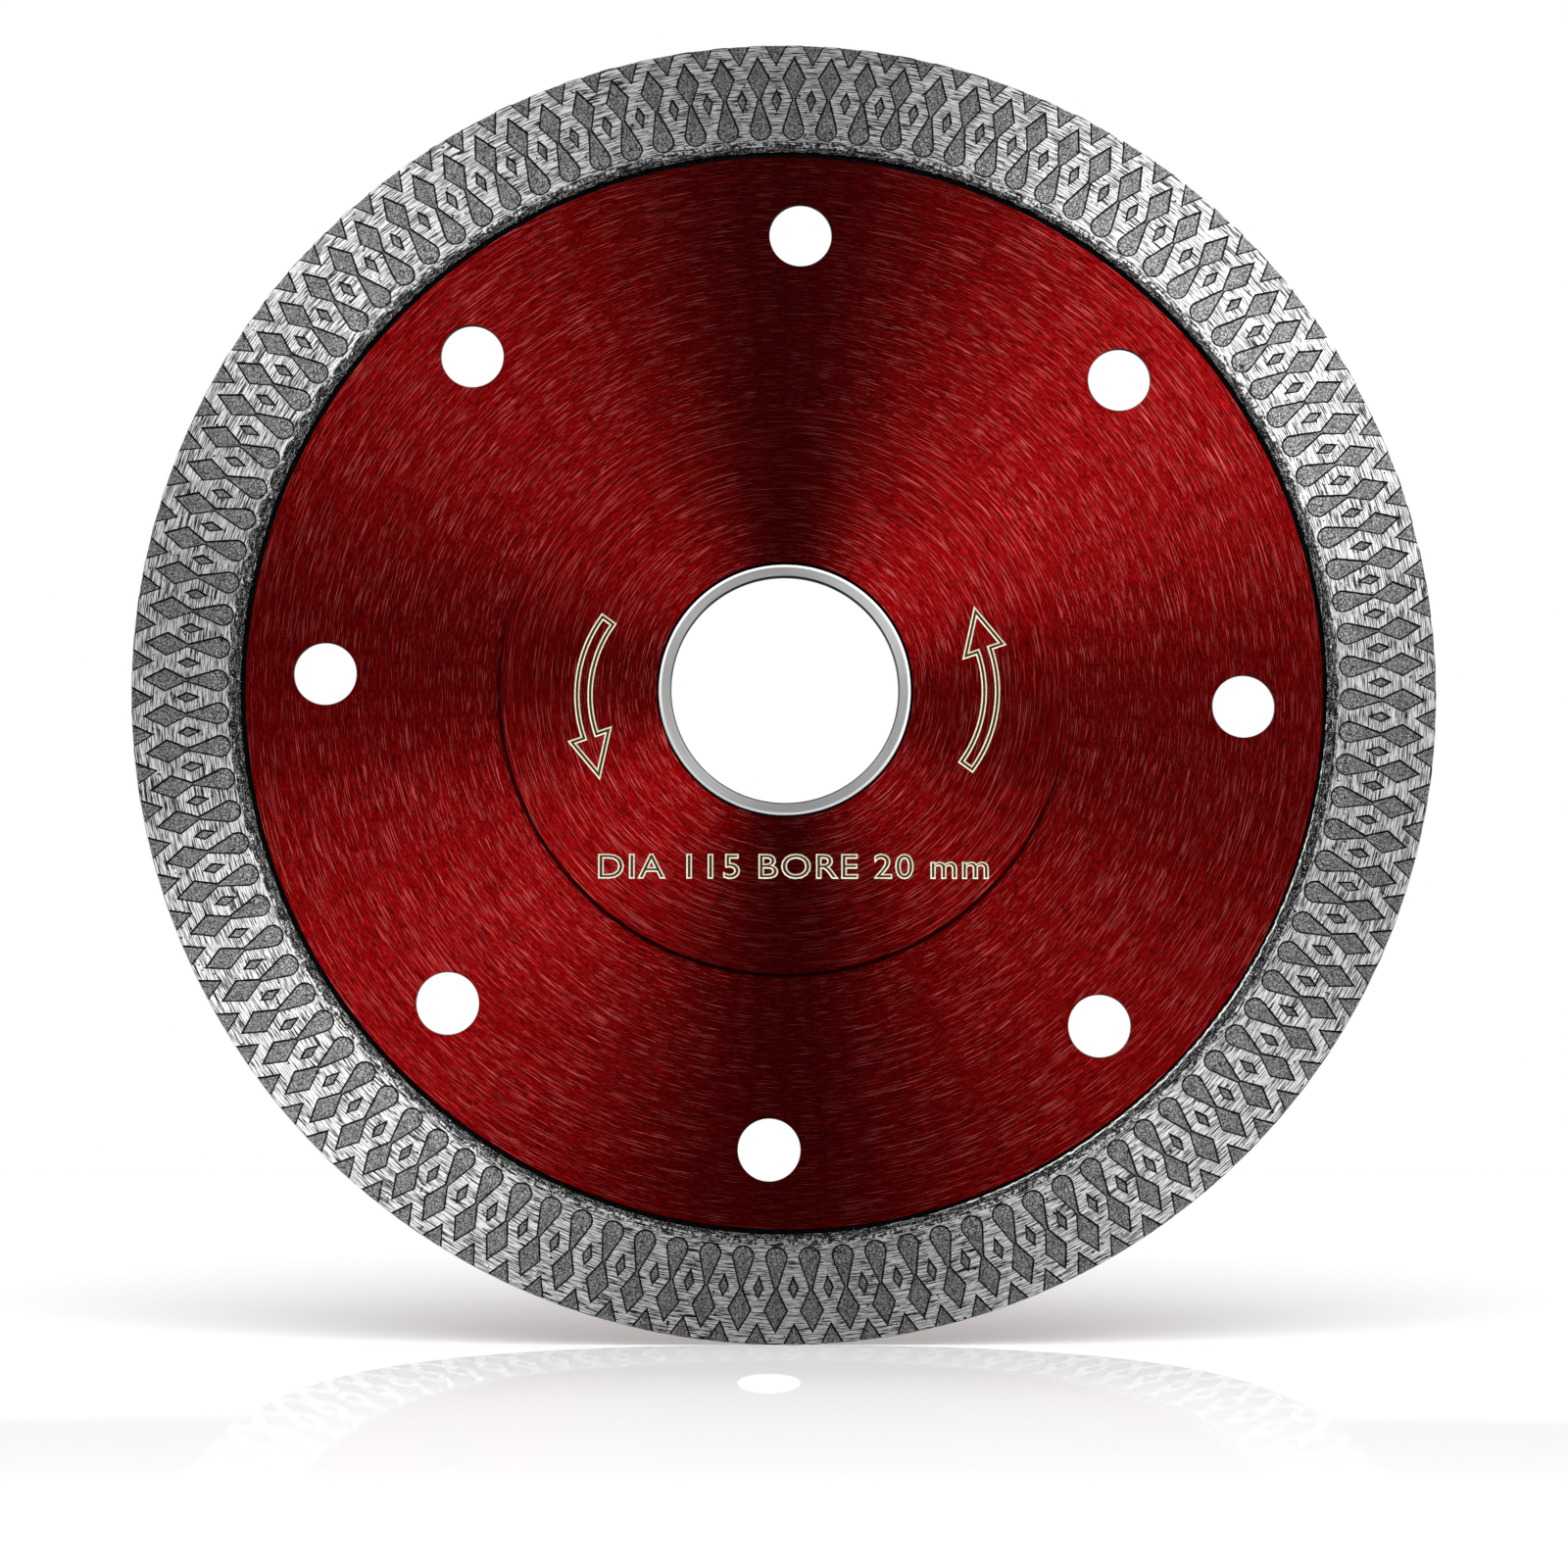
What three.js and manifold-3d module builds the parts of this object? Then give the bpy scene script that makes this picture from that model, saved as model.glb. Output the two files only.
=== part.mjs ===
// A 115 mm diamond blade with a mesh turbo rim, in millimetres.
// The blade stands upright: its spin axis is Y, its marked face looks along -Y and +Z is up.
// The origin is the centre of the bore, in the middle of the core's thickness.
// Angles on the face run from +X towards +Z, which is anticlockwise as the marked face is seen.
import * as THREE from "three";
import { mergeGeometries, mergeVertices } from "three/addons/utils/BufferGeometryUtils.js";
import Module from "manifold-3d";

const wasm = await Module();
wasm.setup();

// Overall sizes
const BLADE_RADIUS = 57.5;
const BORE_RADIUS = 22.23 / 2;
const SPINDLE_RADIUS = 20 / 2;
const ASSEMBLY_GAP = 0.02; // left between pieces that touch on the real blade

// Core
const CORE_THICKNESS = 0.8;
const CORE_EDGE_RADIUS = 50.7; // the core's edge lies under the rim
const HOLE_COUNT = 8;
const HOLE_RADIUS = 5.5 / 2;
const HOLE_CIRCLE_RADIUS = 81 / 2;
const HOLE_TURN = THREE.MathUtils.degToRad(-1.96);

// Reinforcing flanges, one on each side of the core
const FLANGE_RADIUS = 50.2 / 2;
const FLANGE_THICKNESS = 0.4;
const FLANGE_CHAMFER = 0.1;

// Reducing bush, loose in the bore
const BUSH_CLEARANCE = 0.05;
const BUSH_THICKNESS = 1.4;
const BUSH_CHAMFER = 0.25;

// Diamond rim
const RIM_THICKNESS = 1.2;
const RIM_INNER_RADIUS = 48.9;
const POCKET_DEPTH = 0.2;
const CELL_COUNT = 108;
const CELL_TURN = THREE.MathUtils.degToRad(-0.86);
const NOTCH_TIP_RADIUS = 55.6;
const NOTCH_HALF_WIDTH = 1.02; // at the edge of the blade
const DIAMOND_OUTER_RADIUS = 56.55;
const DIAMOND_WIDEST_RADIUS = 54.55;
const DIAMOND_INNER_RADIUS = 52.7;
const DIAMOND_HALF_WIDTH = 1.07;

// Bond seam, in the corner between the core and the rim
const SEAM_INNER_RADIUS = 47.5;
const SEAM_HEIGHT = 0.16;

// Fineness of the round shapes
const EDGE_SEGMENTS = CELL_COUNT;
const BORE_SEGMENTS = 96;
const HOLE_SEGMENTS = 32;
const CUT_MARGIN = 0.3; // how far a cutting shape stands out of what it cuts

const FRONT = -1;
const REAR = 1;

// Materials
function metal(color, roughness, metalness) {
  return new THREE.MeshStandardMaterial({ color, roughness, metalness });
}

const redLacquer = metal(0x8e0f10, 0.35, 0.8);
const sinteredRim = metal(0xa3a5a6, 0.55, 0.7);
const bondMetal = metal(0x2f2f30, 0.8, 0.4);
const brightSteel = metal(0xc3c6c8, 0.3, 1);

// A ring whose section is a list of [radius, y] corners, in order round the section.
function ring(section, segments) {
  const corners = section.map(([radius, y]) => new THREE.Vector2(radius, y));
  corners.push(corners[0].clone());
  return new THREE.LatheGeometry(corners, segments);
}

// A ring with a rectangular section, from one radius and y to another.
function plainRing(innerRadius, outerRadius, lowY, highY, segments) {
  const section = [
    [innerRadius, lowY],
    [outerRadius, lowY],
    [outerRadius, highY],
    [innerRadius, highY],
  ];
  return ring(section, segments);
}

// Turns a closed geometry into a solid that can be cut.
function solidOf(geometry) {
  const bare = geometry.clone();
  bare.deleteAttribute("normal");
  bare.deleteAttribute("uv");
  const closed = mergeVertices(bare, 1e-4);
  const mesh = new wasm.Mesh({
    numProp: 3,
    vertProperties: closed.attributes.position.array,
    triVerts: new Uint32Array(closed.index.array),
  });
  return new wasm.Manifold(mesh);
}

// Turns a solid back into a geometry.
function geometryOf(solid) {
  const { vertProperties, triVerts } = solid.getMesh();
  const geometry = new THREE.BufferGeometry();
  geometry.setAttribute("position", new THREE.BufferAttribute(vertProperties, 3));
  geometry.setIndex(new THREE.BufferAttribute(triVerts, 1));
  geometry.computeVertexNormals();
  return geometry;
}

function cut(body, cutters) {
  return geometryOf(solidOf(body).subtract(solidOf(mergeGeometries(cutters))));
}

function piece(name, geometry, material) {
  const mesh = new THREE.Mesh(geometry, material);
  mesh.name = name;
  return mesh;
}

// The steel blank: a flat ring with its bore and cooling holes.
function makeCore() {
  const halfThickness = CORE_THICKNESS / 2;
  const blank = plainRing(BORE_RADIUS, CORE_EDGE_RADIUS, -halfThickness, halfThickness, EDGE_SEGMENTS);
  const holes = [];
  for (let i = 0; i < HOLE_COUNT; i++) {
    const angle = HOLE_TURN + (i * 2 * Math.PI) / HOLE_COUNT;
    const length = CORE_THICKNESS + 2 * CUT_MARGIN;
    const drill = new THREE.CylinderGeometry(HOLE_RADIUS, HOLE_RADIUS, length, HOLE_SEGMENTS);
    drill.translate(HOLE_CIRCLE_RADIUS * Math.cos(angle), 0, HOLE_CIRCLE_RADIUS * Math.sin(angle));
    holes.push(drill);
  }
  return piece("core", cut(blank, holes), redLacquer);
}

// A reinforcing plate, chamfered round its outer edge.
function makeFlange(name, side) {
  const seat = CORE_THICKNESS / 2 + ASSEMBLY_GAP;
  const face = CORE_THICKNESS / 2 + FLANGE_THICKNESS;
  const section = [
    [BORE_RADIUS, seat],
    [FLANGE_RADIUS, seat],
    [FLANGE_RADIUS, face - FLANGE_CHAMFER],
    [FLANGE_RADIUS - FLANGE_CHAMFER, face],
    [BORE_RADIUS, face],
  ];
  return piece(name, sided(section, side, BORE_SEGMENTS), redLacquer);
}

// A ring drawn on the rear side, or the same ring mirrored to the front side.
function sided(section, side, segments) {
  if (side === REAR) return ring(section, segments);
  const mirrored = section.map(([radius, y]) => [radius, -y]).reverse();
  return ring(mirrored, segments);
}

// The loose ring that fits the bore to a smaller spindle.
function makeBush() {
  const outer = BORE_RADIUS - BUSH_CLEARANCE;
  const half = BUSH_THICKNESS / 2;
  const section = [
    [SPINDLE_RADIUS, -half],
    [outer - BUSH_CHAMFER, -half],
    [outer, BUSH_CHAMFER - half],
    [outer, half - BUSH_CHAMFER],
    [outer - BUSH_CHAMFER, half],
    [SPINDLE_RADIUS, half],
  ];
  return piece("reducing_bush", ring(section, BORE_SEGMENTS), brightSteel);
}

// The sintered ring, with a groove in its inner edge that holds the core's edge.
function rimBlank() {
  const half = RIM_THICKNESS / 2;
  const groove = CORE_THICKNESS / 2 + ASSEMBLY_GAP;
  const section = [
    [RIM_INNER_RADIUS, -half],
    [BLADE_RADIUS, -half],
    [BLADE_RADIUS, half],
    [RIM_INNER_RADIUS, half],
    [RIM_INNER_RADIUS, groove],
    [CORE_EDGE_RADIUS + ASSEMBLY_GAP, groove],
    [CORE_EDGE_RADIUS + ASSEMBLY_GAP, -groove],
    [RIM_INNER_RADIUS, -groove],
  ];
  return ring(section, EDGE_SEGMENTS);
}

// An outline of [radius, distance along the rim] corners, cut into one side of the rim at an angle.
function pocket(outline, angle, side) {
  const shape = new THREE.Shape(outline.map(([radius, along]) => new THREE.Vector2(radius, along)));
  const depth = POCKET_DEPTH + CUT_MARGIN;
  const prism = new THREE.ExtrudeGeometry(shape, { depth, bevelEnabled: false });
  const outwards = new THREE.Vector3(Math.cos(angle), 0, Math.sin(angle));
  const along = new THREE.Vector3(-Math.sin(angle), 0, Math.cos(angle));
  const forwards = new THREE.Vector3(0, FRONT, 0);
  const floor = RIM_THICKNESS / 2 - POCKET_DEPTH;
  const start = side === FRONT ? -floor : floor + depth;
  const place = new THREE.Matrix4().makeBasis(outwards, along, forwards).setPosition(0, start, 0);
  return prism.applyMatrix4(place);
}

// The V-shaped notch that is open at the edge of the blade.
function notchOutline() {
  const slope = NOTCH_HALF_WIDTH / (BLADE_RADIUS - NOTCH_TIP_RADIUS);
  const openRadius = BLADE_RADIUS + CUT_MARGIN;
  const openHalfWidth = slope * (openRadius - NOTCH_TIP_RADIUS);
  return [
    [NOTCH_TIP_RADIUS, 0],
    [openRadius, -openHalfWidth],
    [openRadius, openHalfWidth],
  ];
}

function diamondOutline() {
  return [
    [DIAMOND_INNER_RADIUS, 0],
    [DIAMOND_WIDEST_RADIUS, -DIAMOND_HALF_WIDTH],
    [DIAMOND_OUTER_RADIUS, 0],
    [DIAMOND_WIDEST_RADIUS, DIAMOND_HALF_WIDTH],
  ];
}

// The rim with its rows of pockets. The rear rows lie half a cell further round than the front ones.
function makeRim() {
  const pitch = (2 * Math.PI) / CELL_COUNT;
  const pockets = [];
  for (let i = 0; i < CELL_COUNT; i++) {
    const frontAngle = CELL_TURN + i * pitch;
    const rearAngle = frontAngle + pitch / 2;
    pockets.push(pocket(diamondOutline(), frontAngle, FRONT));
    pockets.push(pocket(notchOutline(), rearAngle, FRONT));
    pockets.push(pocket(diamondOutline(), rearAngle, REAR));
    pockets.push(pocket(notchOutline(), frontAngle, REAR));
  }
  return piece("diamond_rim", cut(rimBlank(), pockets), sinteredRim);
}

// The raised band of bond metal where the rim meets one face of the core.
function makeSeam(name, side) {
  const seat = CORE_THICKNESS / 2 + ASSEMBLY_GAP;
  const outer = RIM_INNER_RADIUS - ASSEMBLY_GAP;
  const section = [
    [SEAM_INNER_RADIUS, seat],
    [outer, seat],
    [outer, seat + SEAM_HEIGHT],
    [SEAM_INNER_RADIUS + SEAM_HEIGHT, seat + SEAM_HEIGHT],
  ];
  return piece(name, sided(section, side, EDGE_SEGMENTS), bondMetal);
}

const blade = new THREE.Group();
blade.add(
  makeCore(),
  makeRim(),
  makeSeam("bond_seam_front", FRONT),
  makeSeam("bond_seam_rear", REAR),
  makeFlange("flange_front", FRONT),
  makeFlange("flange_rear", REAR),
  makeBush(),
);

export default blade;
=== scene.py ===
"""A 115 mm diamond blade with a mesh turbo rim, standing on a pale floor.

Sizes below are in millimetres. The blade's spin axis is Y, its marked face looks along -Y and Z is up.
Angles on the face run from +X towards +Z, which is anticlockwise as the marked face is seen.
"""

import math

import bpy
import numpy as np
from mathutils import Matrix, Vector, noise
from mathutils.geometry import delaunay_2d_cdt


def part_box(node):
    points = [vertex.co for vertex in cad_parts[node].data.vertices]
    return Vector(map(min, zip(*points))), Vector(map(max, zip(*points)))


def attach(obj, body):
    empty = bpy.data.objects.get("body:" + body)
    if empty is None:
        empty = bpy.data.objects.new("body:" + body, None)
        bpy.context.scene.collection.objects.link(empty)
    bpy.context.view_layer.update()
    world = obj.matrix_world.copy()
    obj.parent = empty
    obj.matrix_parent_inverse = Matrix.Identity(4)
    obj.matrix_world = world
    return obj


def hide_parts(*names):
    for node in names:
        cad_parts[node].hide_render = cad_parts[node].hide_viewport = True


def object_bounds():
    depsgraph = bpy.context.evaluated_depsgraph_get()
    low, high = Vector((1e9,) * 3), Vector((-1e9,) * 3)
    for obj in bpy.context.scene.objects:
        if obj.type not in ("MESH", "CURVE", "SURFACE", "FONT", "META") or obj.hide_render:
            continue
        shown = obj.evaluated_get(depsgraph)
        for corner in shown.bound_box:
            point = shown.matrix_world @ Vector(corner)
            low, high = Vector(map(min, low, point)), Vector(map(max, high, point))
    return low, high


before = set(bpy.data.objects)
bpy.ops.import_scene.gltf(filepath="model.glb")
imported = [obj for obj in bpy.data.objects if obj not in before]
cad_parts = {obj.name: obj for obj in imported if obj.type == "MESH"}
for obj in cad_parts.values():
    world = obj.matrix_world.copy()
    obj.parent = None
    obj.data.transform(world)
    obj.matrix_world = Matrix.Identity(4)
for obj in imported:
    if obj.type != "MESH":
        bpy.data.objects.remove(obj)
cad_low, cad_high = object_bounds()

MM = 0.001
FRONT, REAR = -1, 1


def cad_size(node):
    """The outer radius and the lowest and highest Y of a CAD node, in mm."""
    low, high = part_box(node)
    return high.x / MM, low.y / MM, high.y / MM


# Sizes that come from the CAD frame
BLADE_RADIUS, _, RIM_HALF = cad_size("diamond_rim")
CORE_RADIUS, _, CORE_HALF = cad_size("core")
FLANGE_RADIUS, FLANGE_SEAT, FLANGE_FACE = cad_size("flange_rear")
BUSH_RADIUS, _, BUSH_HALF = cad_size("reducing_bush")
BUSH_CLEARANCE = 0.05
BORE_RADIUS = BUSH_RADIUS + BUSH_CLEARANCE
SPINDLE_RADIUS = 10.0

# Rim pattern, repeated round the blade
CELLS = 108
PITCH = 2 * math.pi / CELLS
CELL_TURN = math.radians(-0.86)
EDGE_ROUND = 0.05
RIM_EDGE_RADIUS = BLADE_RADIUS - EDGE_ROUND
RIM_INNER_RADIUS, BAY_RADIUS = 48.3, 48.8
BAY_START, BAY_FULL = 0.2, 0.8  # shares of half a cell, from the middle of a large pocket
DEEPEST_BAYS, LEANING_SIDE = math.radians(172), math.radians(320)
LEAST_BAY, WORN_AT_BAYS, WORN_OPPOSITE = 0.1, 0.35, 0.45
RIB_ROUND_DEPTH, RIB_ROUND_WIDTH = 0.04, 0.035
# The pocket walls, from the rib top down to the floor, are painted very dark as shade
POCKET_DEPTH, WALL_OUTSIDE, WALL_INSIDE = 0.2, 0.015, 0.145
ROUND_END_DEPTH = 0.15
STEP_RADIUS, STEP_HALF_WIDTH = 50.74, 0.02
STEP_CORNER = 3  # which corner of the large pocket's outline the step starts at
NOTCH_TIP_RADIUS, NOTCH_HALF_WIDTH = 55.6, 1.02
DIAMOND_TIP_RADIUS, DIAMOND_WIDE_RADIUS, DIAMOND_HALF_WIDTH = 56.55, 54.55, 1.07
NECK_RADIUS, NECK_HALF_WIDTH = 52.7, 0.17
ROUND_END_CENTRE, ROUND_END_RADIUS = 49.93, 0.98
SMALL_OUTER_RADIUS, SMALL_WIDE_RADIUS, SMALL_INNER_RADIUS = 53.6, 52.64, 51.44
SMALL_HALF_WIDTH = 0.475
OUTLINE_STEP = 0.25
WOBBLE, WOBBLE_SIZE = 0.045, 0.27
CORE_FACE_GAP, CORE_EDGE_GAP = 0.01, 0.02  # between the core and the slot that holds it

# Core
HOLE_COUNT, HOLE_RADIUS, HOLE_CIRCLE = 8, 2.75, 40.5
HOLE_TURN = math.radians(-1.96)
GROOVE_INNER, GROOVE_OUTER, GROOVE_DEPTH = 47.5, 47.86, 0.1
SMALL_CHAMFER = 0.05

# Flanges and bush
FLANGE_CHAMFER = 0.1
BORE_CONE_WIDTH, BORE_CONE_DEPTH = 0.2, 0.25
INNER_CHAMFER, OUTER_CHAMFER, OUTER_DROP = 0.1, 0.2, 0.07

# Beads of bond metal between the core's groove and the rim
BEAD_POINTS_PER_CELL, BEAD_STEPS = 12, 8
BEAD_GROOVE_GAP, BEAD_OVERHANG, BEAD_RIM_GAP, BEAD_UNDERCUT = 0.05, 0.27, 0.05, 0.08
BEAD_CREST, BEAD_LEAST_HEIGHT, BEAD_BELOW_RIM = 0.13, 0.02, 0.01
LUMP_SIZE, RAGGED_SIZE, RAGGED_SHARE = 0.35, 0.5, 0.0012

# Etched marks on the front flange, as (x, z)
ETCH_DEPTH, ETCH_HALF_WIDTH, ETCH_WALL = 0.05, 0.26, 0.15
LETTER_SPREAD = 0.11
TEXT = "DIA 115 BORE 20 mm"
MARKS_CENTRE = (0.2, -0.3)
TEXT_LEFT, TEXT_RIGHT, TEXT_BASE, TEXT_TOP = -16.45, 17.95, -16.75, -14.45

ROUND_SEGMENTS = 432
SAME, SAME_ANGLE = 1e-6, 1e-8  # anything closer counts as the same, in mm and in radians

# Area lights on the blade: name, place in metres, power in watts and side in metres
BLADE_LIGHTS = [
    ("key", (0.331, -0.481, 0.343), 4.1, 0.37),
    ("fill", (-0.44, -0.74, 0.56), 5.7, 0.56),
    ("side", (0.3, -0.25, 0.05), 0.28, 0.2),
    ("rear_key", (-0.331, 0.481, 0.343), 4.1, 0.37),
    ("rear_fill", (0.44, 0.74, 0.56), 5.7, 0.56),
]

# Suns on the floor: name, strength, spread and tilt in degrees
FLOOR_SUNS = [("floor_sky", 2.65, 160, 28), ("floor_front", 2.95, 70, 60)]

# Floor: it rises behind the blade, and its gloss grows from GLOSS_REACH in front of the blade
FLOOR_REACH, RISE_START, RISE_END, RISE, RISE_STEPS = 3000.0, 2.0, 300.0, 20.0, 24
GLOSS_REACH, GLOSS_FALLOFF = 440.0, 8.0
GLOSS_STOPS = (0.0, 0.0), (0.15, 0.2), (0.42, 0.34), (0.6, 0.5), (0.8, 0.56), (0.99, 0.56), (1.0, 0.0)

# World: its strength away from the white band, and the band's limits as parts of a direction's Y and Z
WORLD_DIM, BAND_START, BAND_HALF_HEIGHT = 0.03, -0.2, 0.08

# Camera: its place in mm, and how far up and to the right it looks, in degrees
LENS, SENSOR = 145.3, 36.0
CAMERA_PLACE = (-9.37, -555.7, -52.46)
CAMERA_UP, CAMERA_RIGHT = 4.545, 0.958

# Which of a piece's materials a face takes
RIB_FACE, FLOOR_FACE, ROUND_END_FACE, WALL_FACE = range(4)
LACQUER_FACE, BARE_FACE, GROOVE_FACE = range(3)
PLAIN_FACE, BORE_FACE, ETCH_WALL_FACE, ETCH_FLOOR_FACE = range(4)
TURNED_FACE, OUTER_CHAMFER_FACE, INNER_CHAMFER_FACE = range(3)


# ---------------------------------------------------------------- mesh helpers


def make_object(name, points, faces, materials, face_materials=None, sharp_angle=30):
    """A mesh object from points in mm."""
    mesh = bpy.data.meshes.new(name)
    mesh.from_pydata([tuple(p) for p in np.asarray(points) * MM], [], faces)
    for material in materials:
        mesh.materials.append(material)
    if face_materials is not None:
        mesh.polygons.foreach_set("material_index", face_materials)
    mesh.shade_smooth()
    mesh.set_sharp_from_angle(angle=math.radians(sharp_angle))
    mesh.update()
    piece = bpy.data.objects.new(name, mesh)
    bpy.context.scene.collection.objects.link(piece)
    return piece


def round_angles(count):
    """Evenly spaced angles, once round."""
    return np.arange(count) * 2 * math.pi / count


def on_face(radius, angle, y):
    return radius * np.cos(angle), y, radius * np.sin(angle)


def inset(outline, distance):
    """A closed anticlockwise outline with every side moved inwards by a distance."""
    points = np.asarray(outline, float)
    forward = np.roll(points, -1, axis=0) - points
    forward /= np.linalg.norm(forward, axis=1, keepdims=True)
    next_normal = np.stack([-forward[:, 1], forward[:, 0]], axis=1)
    last_normal = np.roll(next_normal, 1, axis=0)
    reach = 1 + np.sum(next_normal * last_normal, axis=1, keepdims=True)
    return points + distance * (next_normal + last_normal) / reach


def lathe(name, section, materials, kinds, sharp_angle=30):
    """A ring round the spin axis, from a closed list of (radius, y) corners and the kind of each side."""
    count = len(section)
    angles = round_angles(ROUND_SEGMENTS)
    points = [on_face(radius, angle, y) for angle in angles for radius, y in section]
    faces = []
    for i in range(ROUND_SEGMENTS):
        here, there = i * count, (i + 1) % ROUND_SEGMENTS * count
        for j in range(count):
            k = (j + 1) % count
            faces.append((here + j, here + k, there + k, there + j))
    return make_object(name, points, faces, materials, kinds * ROUND_SEGMENTS, sharp_angle)


# ---------------------------------------------------------------- rim


def large_pocket():
    """Diamond, neck, funnel and round end, as (radius, along) corners, anticlockwise."""
    half = [
        (DIAMOND_TIP_RADIUS, 0.0),
        (DIAMOND_WIDE_RADIUS, DIAMOND_HALF_WIDTH),
        (NECK_RADIUS, NECK_HALF_WIDTH),
    ]
    tangent = math.radians(68)
    shoulder = (
        ROUND_END_CENTRE + ROUND_END_RADIUS * math.cos(tangent),
        ROUND_END_RADIUS * math.sin(tangent),
    )
    for radius in (STEP_RADIUS + STEP_HALF_WIDTH, STEP_RADIUS - STEP_HALF_WIDTH):
        share = (NECK_RADIUS - radius) / (NECK_RADIUS - shoulder[0])
        half.append((radius, NECK_HALF_WIDTH + share * (shoulder[1] - NECK_HALF_WIDTH)))
    arc_steps = 9
    for i in range(arc_steps):
        turn = tangent + (math.pi - tangent) * i / arc_steps
        radius = ROUND_END_CENTRE + ROUND_END_RADIUS * math.cos(turn)
        half.append((radius, ROUND_END_RADIUS * math.sin(turn)))
    bottom = (ROUND_END_CENTRE - ROUND_END_RADIUS, 0.0)
    mirrored = [(radius, -along) for radius, along in reversed(half[1:])]
    return half + [bottom] + mirrored


def small_pocket():
    return [
        (SMALL_OUTER_RADIUS, 0.0),
        (SMALL_WIDE_RADIUS, SMALL_HALF_WIDTH),
        (SMALL_INNER_RADIUS, 0.0),
        (SMALL_WIDE_RADIUS, -SMALL_HALF_WIDTH),
    ]


def notch():
    """The open V, as a triangle whose base lies well outside the blade."""
    overshoot = 2.0
    slope = NOTCH_HALF_WIDTH / (BLADE_RADIUS - NOTCH_TIP_RADIUS)
    base = BLADE_RADIUS + overshoot
    half_width = slope * (base - NOTCH_TIP_RADIUS)
    return [(NOTCH_TIP_RADIUS, 0.0), (base, -half_width), (base, half_width)]


def subdivided(path, counts):
    """Points along a path, with counts[i] steps between corners i and i + 1."""
    points = []
    for start, end, count in zip(path, path[1:], counts):
        points += [start + (end - start) * i / count for i in range(count)]
    return points + [path[-1]]


def step_counts(path):
    lengths = [float(np.linalg.norm(end - start)) for start, end in zip(path, path[1:])]
    return [max(1, round(length / OUTLINE_STEP)) for length in lengths]


def clipped_to_edge(path):
    """The path, with its last corner moved back along the last side to the rim's edge."""
    start, end = path[-2], path[-1]
    if np.hypot(*end) <= BLADE_RADIUS:
        return path
    rounds = 6
    for _ in range(rounds):
        share = (RIM_EDGE_RADIUS - start[0]) / (np.hypot(*end) - start[0])
        end = start + (end - start) * share
    return np.array([*path[:-1], end])


def pocket_levels(outline, corners):
    """The path through some corners at the rib top, below its rounded edge and at the floor, with depths."""
    distances = (-WALL_OUTSIDE, RIB_ROUND_WIDTH - WALL_OUTSIDE, WALL_INSIDE)
    contours = [inset(outline, distance) for distance in distances]
    paths = [clipped_to_edge(contour[corners]) for contour in contours]
    counts = step_counts(paths[0])
    paths = [subdivided(path, counts) for path in paths]
    floor = [ROUND_END_DEPTH if radius < STEP_RADIUS else POCKET_DEPTH for radius, _ in paths[0]]
    return zip(paths, ([0.0] * len(floor), [RIB_ROUND_DEPTH] * len(floor), floor))


def inner_edge_radius(angle_in_cell):
    """The rim's inner edge, with a shallow bay half way between the round ends."""
    share = abs(angle_in_cell) / (PITCH / 2)
    rise = min(1.0, max(0.0, (share - BAY_START) / (BAY_FULL - BAY_START)))
    return RIM_INNER_RADIUS + (BAY_RADIUS - RIM_INNER_RADIUS) * math.sin(rise * math.pi / 2)


def ground_edge(angle, radius):
    """The inner edge as ground: worn on two opposite sides, with deep bays left on one of them."""
    towards_bays = np.cos(angle - DEEPEST_BAYS)
    bay = (radius - RIM_INNER_RADIUS) * np.maximum(LEAST_BAY, towards_bays)
    worn = np.where(towards_bays > 0, WORN_AT_BAYS * towards_bays**6, WORN_OPPOSITE * towards_bays**4)
    return RIM_INNER_RADIUS + bay + worn


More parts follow.
